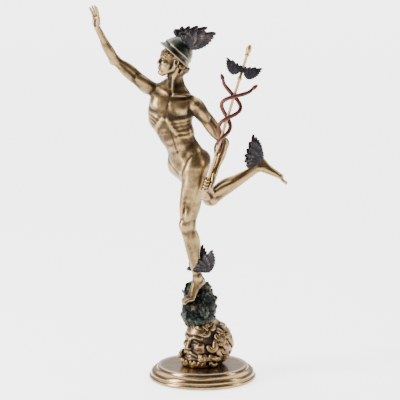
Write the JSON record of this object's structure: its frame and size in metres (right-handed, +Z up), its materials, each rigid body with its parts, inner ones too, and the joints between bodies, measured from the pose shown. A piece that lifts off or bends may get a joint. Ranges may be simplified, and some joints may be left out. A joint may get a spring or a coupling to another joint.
{
  "type": "bronze statuette of mercury",
  "caption": "Cast bronze-finished statuette of Mercury running with raised hand and snake-wound staff, on a leafy bearded head and a round moulded plinth.",
  "frame": {"origin": "centre of the plinth's flat underside", "axes": "+Z up through the figure, -X the way the figure runs, -Y towards the side its chest faces"},
  "size_m": [0.1562, 0.086, 0.2998],
  "materials": {
    "plinth_bronze": "cast resin with a satin antique bronze metallic coat, mauve-brown on the flat top and bright on the rings",
    "head_bronze": "cast resin with a satin antique bronze metallic coat, dark in the curls, and dark green leaves",
    "figure_bronze": "cast resin with a satin antique bronze metallic coat, rubbed bright on the high parts, and dark helmet and wings",
    "staff_gilt": "cast resin with a pale gold metallic rod, copper-red snakes and dark wings"
  },
  "bodies": {
    "root": {"plinth": "plinth_bronze", "leafy_head": "head_bronze", "mercury": "figure_bronze", "caduceus": "staff_gilt"}
  },
  "joints": []
}
